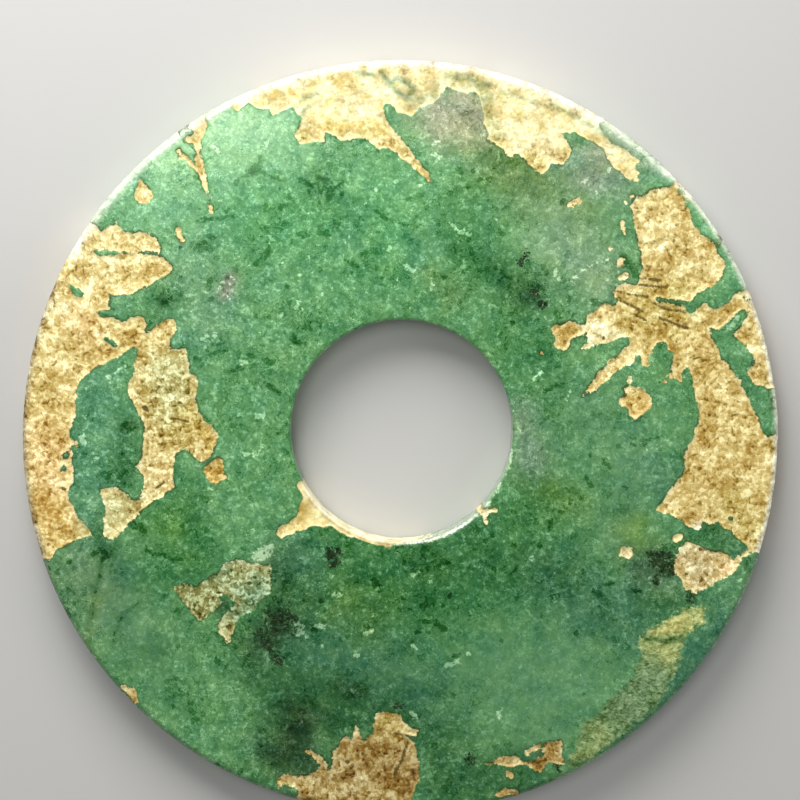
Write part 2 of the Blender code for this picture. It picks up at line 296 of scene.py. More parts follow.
# The marks in the jade
# Dark fibrous clusters and pale veins grew in the green stone and lie flush in the polish, with
# a few open pits; the pale strokes along the bore's lower lip are painted highlight instead. Each
# is a stroke: its half width and the places it runs through.
DARK_MARKS = (
    *strokes_of(-0.03, (-42, -20.3, -41, -19), (-34.3, -21.3, -35.4, -22.2, -36.8, -23.4)),
    *strokes_of(0.12, (-21.5, 33.6, -21.4, 34.4, -20, 34.8), (30.3, 0.3, 31.8, 0, 34, 0.4)),
    *strokes_of(0.16, (-25.6, 10.9, -24, 11.6, -22.8, 11.8), (19.9, -21.1, 20.4, -20.5, 21.2, -20.7)),
    *strokes_of(0.2, (-15.8, 33.2), (-14.7, 33.2), (-26.5, 28.8, -24.8, 29.2, -23.4, 29.2, -21.7, 29.5),
        (-25, 26.8, -24.3, 26.7), (-28.8, 25.3), (-25, 38.2), (-7, 29.4), (-14.3, 26.2), (-27.3, 21),
        (12.2, 35.6), (9.5, 35.5), (3.5, 30.5), (-2.9, 27.4), (2.3, 28.2), (1, 21.5), (7.8, 18.2),
        (-33.7, -14.3, -32.7, -15.1, -31.5, -15), (-31.5, -15, -30.2, -15.9, -29, -15.8), (-22.2, 20.2),
        (-21.8, 20.6), (-16.1, 0.8), (-25.9, 3, -25.1, 2.6), (-10, -24.2), (19, 6.5, 20.4, 7.2, 22, 7.5)),
    *strokes_of(0.22, (-18, 35.2, -15.5, 34.3), (-18, 33.2), (-11, 34.7, -9.8, 34), (-29.5, 31.6),
        (-35, 30.4), (1, 31.6, 2, 32.2, 3, 32.4), (0, 28.5, 1, 28.3), (-7.5, 23.8, -5.5, 22.8), (13, 21),
        (-22.7, 21.3), (-22.8, 20.4), (-23.3, 19.7), (-22.6, 19.4), (-22.2, 9.1, -21.4, 9.7),
        (-20.8, 9.4), (-12.7, -21.4), (7.2, -28.7, 8, -28.3), (-0.1, -22.4), (24.3, -17.4),
        (26.4, -19.3, 28.1, -19), (24.3, -33.6), (13.5, -26.7), (-27.1, -19.3)),
    *strokes_of(0.25, (-17.7, 31.2, -17.7, 30.3), (-15.8, 30.5, -15, 31, -14.4, 30.2), (-14.8, 20.2),
        (3.4, 36.4), (8.9, 33.2), (10.3, 34.2, 11.7, 34.4), (11.5, 31.5), (-3.2, 30.2, -1.8, 29.2),
        (-5.6, 28.2), (-5, 24.5, -3.5, 25.2), (-4.3, 23), (6.2, 19.5), (-38.9, -5), (-32.3, -16.8),
        (-39.9, -14.2), (-45.4, -17.4), (-26.2, 9.8), (-12.6, 12.8), (-19.8, -7.6), (-21.4, -4.3),
        (-5.8, -18.7), (0.3, -20.9), (20.4, -12.9), (23.2, -25.6), (12.2, -12.4), (-17.4, -17.8),
        (0.5, -16.2), (25, -2), (26.8, -2.6, 27.5, -3.6), (24.5, -5, 25.2, -6), (24, -7.7), (22.5, -8.2),
        (29.7, -6.2)),
    *strokes_of(0.28, (-7.4, 34.1, -8.5, 33.2), (-19, 23.2, -17.7, 24.3, -17, 25), (-25, 21, -25, 19.8),
        (4.5, 22, 5.8, 21.5), (-37.2, -5.9, -36.4, -5.6), (-10.4, -21.5),
        (3.3, -24, 4.3, -24, 5.9, -25.2), (19.8, -10.5, 19.9, -12)),
    *strokes_of(0.3, (-7.6, 32.4), (-26.9, 25.3, -26, 26.1, -25.1, 25.6, -25, 25),
        (-31.3, 18, -30.2, 18.8), (-39.7, -4.6, -39, -4.3, -38.3, -4.6), (-36.5, -2), (-43.7, -16.1),
        (-20, 11.3, -19.4, 11), (-17.1, 7.2, -16, 6.2), (25.5, -20.1, 26.5, -20.5),
        (31, -19.8, 31.7, -20.2), (-24.6, -20.4, -24, -19.8), (5.6, -16, 6.3, -16.2), (6.6, -20.6),
        (21.3, -9.5), (18.5, -14), (15, -14), (12.5, -17)),
    *strokes_of(0.32, (-36.9, 1.4, -36.1, 2.1), (-35.8, 1.3, -34.9, 1.7), (-37, -4.9, -36.2, -4.1),
        (-40.6, -15, -39.5, -14.6, -38.6, -15.1, -39.3, -15.8)),
    *strokes_of(0.35, (-13.1, 34.3, -11.6, 33.4), (21.4, 31.4), (-35.4, -10.9, -35.2, -11.5),
        (-11.3, -25.2), (35.8, -26.6, 36.4, -26.9)),
    *strokes_of(0.36, (-18.6, 36, -18.3, 37.1), (2.3, -25.6)),
    *strokes_of(0.4, (-13, 27.2, -12.2, 27), (-10.5, 27.3, -9.6, 27.2), (17.8, 19.3), (18.5, 18),
        (29, 24.4, 30.2, 22.9, 31.2, 21.6), (-34.4, -11.4, -33.9, -12.3), (-3.5, -18.7, -2.8, -19.7),
        (32.2, -26.7, 33.2, -26.7)),
    *strokes_of(0.45, (-9.1, 33, -9.4, 31.8), (25.5, 18.2, 26.3, 18)),
    (-0.04, (-38.8, -22), (-37.4, -23.5)), (-0.02, (-36.8, -23.4), (-37.7, -25.2), (-38.1, -27)),
    (0, (-39.6, -15.2), (-39.5, -17), (-39.9, -18.5), (-40.6, -20.8), (-40.8, -24)),
    (0.1, (30.5, -0.6), (32.2, -0.8)), (0.14, (-24.8, 12.5), (-23.2, 12.8)), (0.26, (-10.6, 31.2)),
    (0.42, (-14.1, 13.5), (-13.6, 12.9)), (0.48, (-17.6, 10.6), (-16.9, 10.2)),
    (0.55, (-26.6, 25.2), (-25.8, 25.5)), (0.62, (-19.5, 35.4), (-18.8, 35.8)),
)
BLACK_MARKS = (
    *strokes_of(0.1, (-13.8, -36.2, -12.8, -36), (-0.6, -35.3, 0.4, -35.6)),
    *strokes_of(0.22, (15.9, 23.4), (-17.4, -22.9, -14.3, -25.3), (-16.9, -25.6, -15, -22.8),
        (-17.7, -24.4, -14.2, -23.7)),
    *strokes_of(0.3, (18.6, 18), (-8.3, -14.7), (33.8, -18.4), (20.9, -43.7)),
    *strokes_of(0.35, (17.7, 19.4), (-17.2, -27.4), (34.2, -17.6, 35.8, -17.4), (38.5, -20.9)),
    *strokes_of(0.4, (-16.5, -28.9, -15.9, -29.5), (9.3, -42.5)),
    *strokes_of(0.45, (-18.5, -25.9, -17.6, -26.9), (-9.1, -15, -8.6, -16.4)),
    *strokes_of(0.5, (33.4, -15.3, 35.2, -15.5), (33.7, -16.2, 35.6, -16.6)),
    (0.15, (-14, -37.5), (-13.2, -37.2)), (0.32, (16.5, 24.4)), (0.6, (-16.1, -23.8), (-15.6, -24.4)),
)
PALE_MARKS = (
    *strokes_of(0.12, (22.5, 21, 23.5, 22, 25.3, 23.2, 27.5, 23.8), (17.6, 8, 18.6, 9)),
    *strokes_of(0.14, (33.8, -15.8, 35.6, -16, 36.4, -15.4), (13.1, -37, 13, -36.3, 13.6, -35.9),
        (29, -27.3, 29.6, -27.6)),
    *strokes_of(0.16, (6.5, 28.5, 7.3, 27.9, 8.3, 27.2, 9.3, 27), (8.3, 27.2, 8.7, 28.3),
        (-36.3, 9.8, -37.4, 8.9), (-20.5, -1.8, -18.9, -2, -18.2, -0.7), (-9, -18),
        (21.8, 5.4, 22.4, 6.5)),
    *strokes_of(0.18, (-21.7, 21.1), (-22, 19.9), (-22.4, 19), (-12.8, -24.6, -13.6, -25.8),
        (-10.6, -28.9), (33.6, -1.1), (34.1, 1.2), (32.6, -1.1), (25.3, -4.2), (24, -31.2),
        (34, -14.3, 33.2, -13.8)),
    *strokes_of(0.2, (-17.4, 26.9, -16.6, 26.4), (-13.2, 21.9), (-10.2, 19.3),
        (-13.4, 18.3, -13.8, 17.5, -13, 17.3), (-3.2, 33), (-4.5, 31.2), (-0.5, 34.1), (2.6, 33.5),
        (12.6, 29), (-6.7, 26.7), (-0.5, 21.2), (4.3, 20.8, 4, 20), (25.8, 32.6), (27.4, 35.5),
        (20.5, 22.6, 20.3, 21.8, 21, 21.2), (16.8, 21.3), (-37.6, 4.7), (-40.5, -1.7),
        (-25.9, 13.1, -25.5, 13.8), (-20.3, -12.1), (-19.4, -12), (-25.5, -6.2, -24.9, -6.4),
        (-22.2, 21.5), (-22.2, 20.7), (-23.2, 19.2), (2.4, -17.5), (-3.7, -23.4),
        (-14.4, -24.9, -13.2, -25.4, -12.4, -26), (-14, -24.1, -12.8, -24.7), (5.6, -30.8), (17, -2.2),
        (18, -2.6), (20.5, -21), (33, -18.4, 34.3, -18.8)),
    *strokes_of(0.22, (-17.3, 39.6, -17.6, 38.8), (-15.5, 23.3), (0.8, 23, 1.8, 22.3), (-21.3, 3.4),
        (-23.6, 20.1), (1.7, -17.8), (-11.3, -24.6, -10, -24.7), (-10.4, -27.4), (9, -28.4),
        (1.4, -36.2, 2.2, -37)),
    *strokes_of(0.24, (-23.2, 20.9), (-22.7, 19.9)),
    *strokes_of(0.25, (-24.5, 38.7, -23.9, 38), (-12, 24.1), (-15.9, 16.3, -15.5, 16.6),
        (5.2, 37.2, 4.2, 37.6), (5.6, 34.3), (-42.3, 5.6), (-39.9, -2.5), (-6.3, -33.2), (-13.1, -37.3),
        (-3, -19.6), (4.2, -18.8), (-6, -28.5, -5.5, -28.5), (1.6, -27.1, 1.9, -27.6), (17.4, -15.7),
        (44.9, -18.6), (11.7, -8.4)),
    *strokes_of(0.28, (-7.6, 23.8), (-1.4, 25.2), (24.2, 34), (-41.3, 6.8), (-41.6, 3.1),
        (-8.7, -20.6, -8.1, -20.4)),
    *strokes_of(0.3, (5, 39.2), (-38.4, 8.4, -38, 7.6), (-20.9, 10.3, -20.3, 10.2), (-17.2, -16),
        (34.6, -16.9, 36, -17.2), (-4.6, -25.8, -3.5, -25.2), (6, -29.9, 7.7, -29.4)),
    *strokes_of(0.35, (-26, 13.3), (-24.5, 13.8), (44.5, 16.2, 43.4, 14.9), (32.4, 11.2, 33.2, 10.7)),
    *strokes_of(0.36, (-17.9, -14.3, -17, -14.2), (-18.2, -15.6, -17.4, -15)),
    *strokes_of(0.42, (-41.9, 0.3, -41.6, -0.3), (-19.2, -15.6, -18.4, -14.6)),
    # Painted highlight: two pale strokes along the bore's lower lip, which faces the light
    (0.14, *lip_arc(260, 318, off=0.3)), (0.05, *lip_arc(318, 350, off=0.2)),
    (0.4, (-18.9, 3.2), (-18.2, 3.3)), (0.5, (45.9, 9.2), (47.2, 8.6)),
)

# Brown cracks and pits in the matrix
BROWN_MARKS = (
    *strokes_of(0.12, (38.2, 10.8, 39.6, 11), (-45.4, 18.2, -45.6, 17)),
    *strokes_of(0.14, (30.6, 16.6, 32.4, 15.8), (40.7, 14.5, 42, 14.2), (41.5, 3.4, 41.8, 3),
        (43.9, 3.4, 44.4, 3.4), (-30.3, 2.9, -28, 2.5), (-47, -0.5, -46, -0.7), (-34.9, 12.9),
        (-26.3, 9.9), (46.9, 9.7)),
    *strokes_of(0.15, (28.2, 19.7, 30.5, 19.2, 32.6, 18.9), (29.6, 21.7, 32.4, 21.3, 34.4, 21)),
    *strokes_of(0.16, (33.4, 18, 35.2, 17.2, 37.4, 16.9), (30.6, 9.4), (29.4, 8.2),
        (-32.3, -6.3, -31.2, -5.6), (-0.7, -39.1, 2, -39.5), (38.7, 9.3)),
    *strokes_of(0.18, (28.6, 18.8, 30, 17.9, 32, 17), (34.1, 16.2, 36, 15.4, 37.8, 14.8), (36.4, 12.9),
        (37.9, -17.8)),
    *strokes_of(0.2, (28.6, 12.2), (43.7, -12.2), (43.2, -17.9), (-32.6, 11.4), (-46.6, -13.8),
        (1, -40.2, 0.3, -42.5, -0.8, -44.6), (-44.8, -6.3, -44.2, -6.6)),
    *strokes_of(0.25, (-38.5, 13.2, -37.4, 12.5), (-5, -41.8)),
    *strokes_of(0.28, (39.7, -14.4, 41.1, -14.3), (-33.8, 4.4, -33.4, 4), (-20, -19), (-7, -42.9)),
    *strokes_of(0.3, (31.4, 10.5), (29.2, 6.5, 29.5, 5.9), (-24.9, -21)),
    (0.08, (-12.9, 39.7), (-12.2, 39.6)), (0.17, (30, 20.8), (33, 20.3), (34.6, 20.1)),
    (0.22, (26.8, 13.5)),
)

# The crackled band
# At the lower right a seam of yellow-green stone runs to the rim. It is jade too, ground flush
# with the rest, with a web of dark cracks and streaks in it. Its edge is one closed outline.
BAND_OUTLINE = (
    (38.5, -21.8), (40.3, -22.5), (40.5, -24.0), (38.3, -25.5), (37.3, -28.0), (37.0, -30.5),
    (35.5, -33.0), (34.0, -35.3), (31.5, -37.6), (28.0, -40.5), (24.5, -43.0), (21.8, -44.2),
    (22.0, -42.5), (23.5, -40.3), (24.2, -37.5), (25.2, -37.0), (26.7, -36.0), (27.7, -34.3),
    (29.0, -33.3), (30.7, -31.5), (31.5, -29.8), (32.0, -28.3), (31.0, -27.0), (32.0, -26.0),
    (32.6, -25.0), (34.5, -24.2), (36.5, -22.8),
)


def outline_depth(places, outline):
    """Return how far inside a closed outline each place lies, in millimetres."""
    closed = [*outline, outline[0]]
    distance = -stroke_depth(places, 0.0, closed)
    inside = np.zeros(len(places), dtype=bool)
    for (ax, ay), (bx, by) in zip(closed, closed[1:]):
        spans = (ay > places[:, 1]) != (by > places[:, 1])
        crossing = ax + (places[:, 1] - ay) * (bx - ax) / ((by - ay) or 1e-9)
        inside ^= spans & (places[:, 0] < crossing)
    return np.where(inside, distance, -distance)


# The ground surface
# The slab's mesh is cut finely where the stone changes and coarsely where it is plain, so the
# grain of the matrix is real relief. Edges longer than these lengths, in millimetres, are halved.
LONGEST = {"outline": 0.27, "mark": 0.3, "matrix": 0.45, "jade": 0.9, "back": 1.4}
PASSES = 5
FRONT_SHARE = 0.4
SMALL_KINDS = ("grains", "windows", "dark", "black", "pale", "brown")

disc = cut_blank()


def all_places(mesh):
    """Return every vertex's place in millimetres, as rows of x, y and z."""
    return np.array([vert.co for vert in mesh.verts]) / MM


def marks_at(places):
    """Return the depths inside each kind of mark at every place; marks are in the front alone."""
    flat = wobble(places[:, :2])
    in_bore = np.hypot(*(places[:, :2] - bore_centre / MM).T) < bore_radius / MM + 0.2
    front = in_bore | (places[:, 2] > thickness / MM * FRONT_SHARE)
    kinds = {
        "grains": np.maximum(lay_strokes(flat, GRAINS), lay_strokes(places[:, :2], LIP)),
        "windows": lay_strokes(flat, WINDOWS),
        "dark": lay_strokes(flat, DARK_MARKS),
        "black": lay_strokes(flat, BLACK_MARKS),
        "pale": lay_strokes(flat, PALE_MARKS),
        "brown": lay_strokes(flat, BROWN_MARKS),
        "band": outline_depth(wobble(places[:, :2], 1.4, 0.3, 3.0), BAND_OUTLINE),
    }
    return {kind: np.where(front, depth, OUTSIDE) for kind, depth in kinds.items()}


for _ in range(PASSES):
    snap_to_form(disc)
    disc.verts.index_update()
    places = all_places(disc)
    found = marks_at(places)
    matrix = np.maximum([matrix_at(vert.co) for vert in disc.verts], found["grains"])
    small = np.max([found[kind] for kind in SMALL_KINDS], axis=0)
    ends = np.array([(e.verts[0].index, e.verts[1].index) for e in disc.edges])
    lengths = np.linalg.norm(places[ends[:, 0]] - places[ends[:, 1]], axis=1)
    heights = places[ends].mean(axis=1)[:, 2] / (thickness / MM)
    deepest = matrix[ends].max(axis=1)
    shallowest = matrix[ends].min(axis=1)
    longest = np.full(len(ends), LONGEST["jade"])
    longest[deepest > 0.0] = LONGEST["matrix"]
    longest[small[ends].max(axis=1) > -0.15] = LONGEST["mark"]
    longest[(deepest > 0.0) & (shallowest < 0.0)] = LONGEST["outline"]
    behind = heights < FRONT_SHARE
    longest[behind] = np.where(deepest[behind] > -0.3, LONGEST["jade"], LONGEST["back"])
    split = [edge for edge, long in zip(disc.edges, lengths > longest) if long]
    if not split:
        break
    bmesh.ops.subdivide_edges(disc, edges=split, cuts=1, use_grid_fill=True)
bmesh.ops.triangulate(disc, faces=[face for face in disc.faces if len(face.verts) > 4])
snap_to_form(disc)
disc.normal_update()

places = all_places(disc)
found = marks_at(places)
patches = np.array([matrix_at(vert.co) for vert in disc.verts])


def field_noise(places, size, seed=0.0):
    """Return smooth noise of a given size at every place, about 0 and within 1."""
    return np.array([noise.noise(Vector(place) / size + Vector((seed, 0, 0))) for place in places])


jag = field_noise(places, 1.2) * 0.3 + field_noise(places, 0.5, 5.0) * 0.16
matrix = np.maximum(patches + jag, found["grains"])
matrix = np.minimum(matrix, np.where(found["windows"] > -1.0, -found["windows"], 9.0))


def smooth_step(low, high, values):
    """Return 0 below low and 1 above high, with a smooth rise between."""
    share = np.clip((values - low) / (high - low), 0.0, 1.0)
    return share * share * (3 - 2 * share)


# The matrix is worn below the polish and keeps its grain; pits and cracks are a little deeper
HOLLOW = 0.17
GRAIN = 0.1
CRACK = 0.06
PIT = 0.05
POLISH_WAVE = 0.012
sunk = smooth_step(-0.08, 0.28, matrix)
grain = field_noise(places, 0.95, 11.0) * 0.65 + field_noise(places, 0.5, 17.0) * 0.5
relief = -sunk * (HOLLOW - grain * GRAIN)
relief -= smooth_step(-0.1, 0.25, found["brown"]) * CRACK * sunk
relief -= smooth_step(-0.05, 0.25, found["black"]) * PIT
relief -= (1 - sunk) * (0.5 + 0.5 * field_noise(places, 3.5, 23.0)) * POLISH_WAVE
relief = np.minimum(relief, 0.0)
flat_share = np.abs([vert.normal.z for vert in disc.verts])
relief *= 0.55 + 0.45 * flat_share
for vert, depth in zip(disc.verts, relief):
    vert.co += vert.normal * depth * MM


# The stone's colours
# The jade is a felt of green fibres that runs through the slab in soft clouds, from misty green to
# a deep, almost black green. Each cloud is a colour, a strength, a reach in millimetres and a path.
GAMMA = 2.2


def paint(red, green, blue):
    """Return a colour by screen values of 0 to 255, which the finish below turns linear."""
    return np.array([red, green, blue]) / 255


GREENS = {
    "mid": paint(92, 144, 91), "mint": paint(143, 197, 138), "misty": paint(118, 174, 122),
    "leaf": paint(112, 166, 112), "fresh": paint(82, 150, 90), "pale": paint(95, 149, 96),
    "deep": paint(57, 113, 61), "shade": paint(42, 88, 46), "ink": paint(18, 42, 18),
    "moss": paint(78, 119, 54), "lime": paint(92, 138, 54), "olive": paint(102, 132, 76),
    "sea": paint(87, 139, 101), "teal": paint(66, 114, 83), "grey": paint(120, 144, 116),
    "smoke": paint(48, 80, 46), "ash": paint(160, 170, 150), "sage": paint(107, 136, 100),
    "stone": paint(170, 170, 138), "soft": paint(129, 160, 120), "white": paint(232, 238, 214),
    "clover": paint(94, 141, 98), "dust": paint(148, 148, 130),
}
JADE_CLOUDS = (
    # The misty and mint clouds at the upper left are partly the stone's own pale tint and partly painted
    # sheen, the haze of light mirrored in the polish
    ("misty", 0.95, 9, (-35, 34), (-20, 40)), ("mint", 0.9, 6, (-29, 38), (-20, 42), (-15, 43)),
    ("misty", 0.6, 6, (-33, 27)), ("misty", 0.5, 5, (-29, 27), (-25, 19)), ("sea", 0.5, 5, (-25, 25)),
    ("leaf", 0.85, 6, (-13, 38), (0, 37), (5, 34)), ("fresh", 0.8, 8, (-18, 30), (-8, 27), (-2, 28)),
    ("deep", 0.35, 3, (-10, 33.5), (-7, 30)), ("stone", 0.95, 4, (5, 43), (8.5, 41.5)),
    ("stone", 0.9, 1.6, (8.5, 45.5), (10, 44), (10.8, 41.5), (11.4, 39.5)),
    ("olive", 0.8, 3.5, (11, 37), (16, 34)), ("mint", 0.9, 4.5, (-27, 38.5), (-22, 40.5), (-17, 42)),
    ("moss", 0.6, 2.6, (8, 32)), ("deep", 0.5, 3, (9, 31)), ("leaf", 0.5, 4.5, (2, 32), (6, 29)),
    ("leaf", 0.3, 5, (-32, 22), (-27, 17)), ("mid", 0.5, 4, (-26, -17), (-20, -12)),
    ("grey", 0.7, 4, (22, 36), (28, 34)), ("ash", 0.6, 1.8, (24, 34), (26, 34.5)),
    ("olive", 0.7, 3.2, (18, 31), (22, 30.5)), ("soft", 0.9, 5.5, (20, 27), (26, 22)),
    ("leaf", 0.4, 4, (15, 27)), ("deep", 0.8, 3.4, (8, 26), (11, 24)),
    ("shade", 0.45, 2.6, (12.5, 23), (15.5, 20.5)), ("smoke", 0.7, 2.2, (17, 18.5)),
    ("deep", 0.65, 4, (16, 14), (18, 9)), ("pale", 0.6, 7, (-10, 21), (-20, 17)),
    ("sea", 0.7, 4, (-25, 15), (-28, 12)), ("sea", 0.5, 3, (3, 25.5)), ("sea", 0.4, 3, (-6, 26.8)),
    ("olive", 0.4, 1.6, (4, 22), (7, 18.7)), ("pale", 0.5, 8, (-20, 4), (-19, -8)),
    ("soft", 0.35, 4, (-28, 22), (-25, 18)), ("leaf", 0.35, 3, (-20, -11)),
    ("sea", 0.75, 6, (-41, 6), (-42, -7)), ("shade", 0.3, 1.6, (-36, 2), (-36.5, -5)),
    ("smoke", 0.3, 1.2, (-36, 1.8)), ("sea", 0.5, 3, (-38, 17)), ("shade", 0.7, 2, (-31, 18.5)),
    ("sage", 0.7, 6, (-42, -18), (-38, -21)), ("clover", 0.5, 5, (-35, -26), (-32, -29)),
    ("shade", 0.3, 2, (-36, -29), (-30, -27)), ("teal", 0.45, 3, (-35, -16), (-33, -20)),
    ("shade", 0.5, 2.2, (-39.5, -14)), ("deep", 0.8, 4, (-30, -10), (-27, -15), (-32, -18)),
    ("lime", 0.5, 2.6, (-31.5, -11.5), (-30, -12.5)), ("mid", 0.3, 3, (-31, -13)),
    ("deep", 0.95, 8, (-10, -19), (4, -18), (14, -19)), ("shade", 0.35, 3.2, (2, -16.5), (11, -16)),
    ("teal", 0.7, 3, (-14.5, -14.5), (-12, -17)), ("smoke", 0.6, 2.5, (-16.5, -17)),
    ("moss", 0.75, 4, (-8, -22.5), (-3, -24.5)), ("deep", 0.7, 5, (3, -25), (8, -27)),
    ("smoke", 0.8, 3.6, (-15, -23), (-18, -28)), ("ink", 0.6, 1.8, (-15.8, -24), (-17.5, -26.5)),
    ("teal", 0.75, 6, (-11, -29), (-3, -31), (3, -34)),
    ("shade", 0.75, 5, (-15, -34), (-9, -36), (-2, -37)), ("ink", 0.4, 1.4, (-7.5, -33), (-5, -33.4)),
    ("smoke", 0.85, 3.4, (-16, -41), (-13, -38), (-13, -44)),
    ("ink", 0.45, 2.4, (-14, -37.5), (-15, -42)), ("shade", 0.7, 4, (6, -40), (6, -46), (16, -44)),
    ("clover", 0.7, 8, (14, -31), (22, -30), (20, -36)), ("teal", 0.7, 5, (21, -19), (30, -24)),
    ("shade", 0.5, 3, (18, -16), (22, -18)), ("deep", 0.5, 4, (15, -9), (20, -11)),
    ("moss", 0.7, 3, (19, -6), (23.5, -8.5)), ("grey", 0.75, 2.6, (16, 3), (17.5, -1)),
    ("grey", 0.5, 2, (15.8, -2.5), (18.5, -3)), ("clover", 0.7, 6, (24, 3), (30, -1), (29, -11)),
    ("teal", 0.6, 2.4, (33, -4), (36, -6)), ("olive", 0.5, 3, (30, -12), (31, -14)),
    ("smoke", 0.8, 2.2, (33, -16.5), (35.5, -16)), ("grey", 0.5, 2.4, (33, -19), (35, -19.5)),
    ("shade", 0.6, 2.6, (33, -21.5), (37, -21.5)), ("shade", 0.6, 2, (41, -12.5), (44, -13.5)),
    ("teal", 0.85, 4, (42, -25), (37, -33), (31, -39)), ("clover", 0.6, 3, (44, -20), (46.5, -14)),
    ("sea", 0.4, 3, (43, 9), (47, 4)), ("misty", 0.7, 2.5, (43, 22), (39, 31), (34, 36)),
    ("ash", 0.5, 1.6, (27, 40.5), (31, 38), (34, 36)), ("dust", 0.8, 1.05, (-22.3, 21.3), (-23, 19.4)),
    ("smoke", 0.8, 1.1, (-23, -22)), ("stone", 0.6, 1.6, (24.5, 38), (27, 37.5)),
    ("shade", 0.5, 0.4, (-39.6, -15.2), (-39.5, -17), (-39.9, -18.5), (-40.6, -20.8), (-40.8, -24)),
    ("olive", 0.5, 0.9, (-40.2, -21), (-41.2, -26)),
    ("shade", 0.45, 0.4, (-34.3, -21.3), (-35.4, -22.2), (-36.8, -23.4), (-37.7, -25.2), (-38.1, -27)),
    ("shade", 0.35, 0.35, (-42, -20.3), (-41, -19)), ("shade", 0.35, 0.35, (-38.8, -22), (-37.4, -23.5)),
    ("lime", 0.4, 2, (31.5, -12.5)), ("smoke", 0.5, 1.2, (-8.9, -15.5)),
    ("soft", 0.6, 1.05, (-18.8, -15.8), (-17.4, -14.5)), ("olive", 0.6, 2, (15, 36.5), (19, 33.5)),
)
MATRIX_TONES = {
    "tan": paint(213, 188, 116), "gold": paint(214, 178, 98), "brown": paint(160, 133, 73),
    "cream": paint(234, 217, 155), "ivory": paint(251, 242, 190), "grey": paint(194, 194, 134),
    "moss": paint(112, 142, 98), "rosy": paint(204, 187, 136), "orange": paint(228, 186, 122),
    "lichen": paint(140, 158, 118), "white": paint(255, 250, 224), "khaki": paint(196, 177, 99),
    "olive": paint(138, 141, 81), "dusk": paint(180, 164, 122), "honey": paint(234, 211, 136),
    "celadon": paint(164, 180, 130),
}
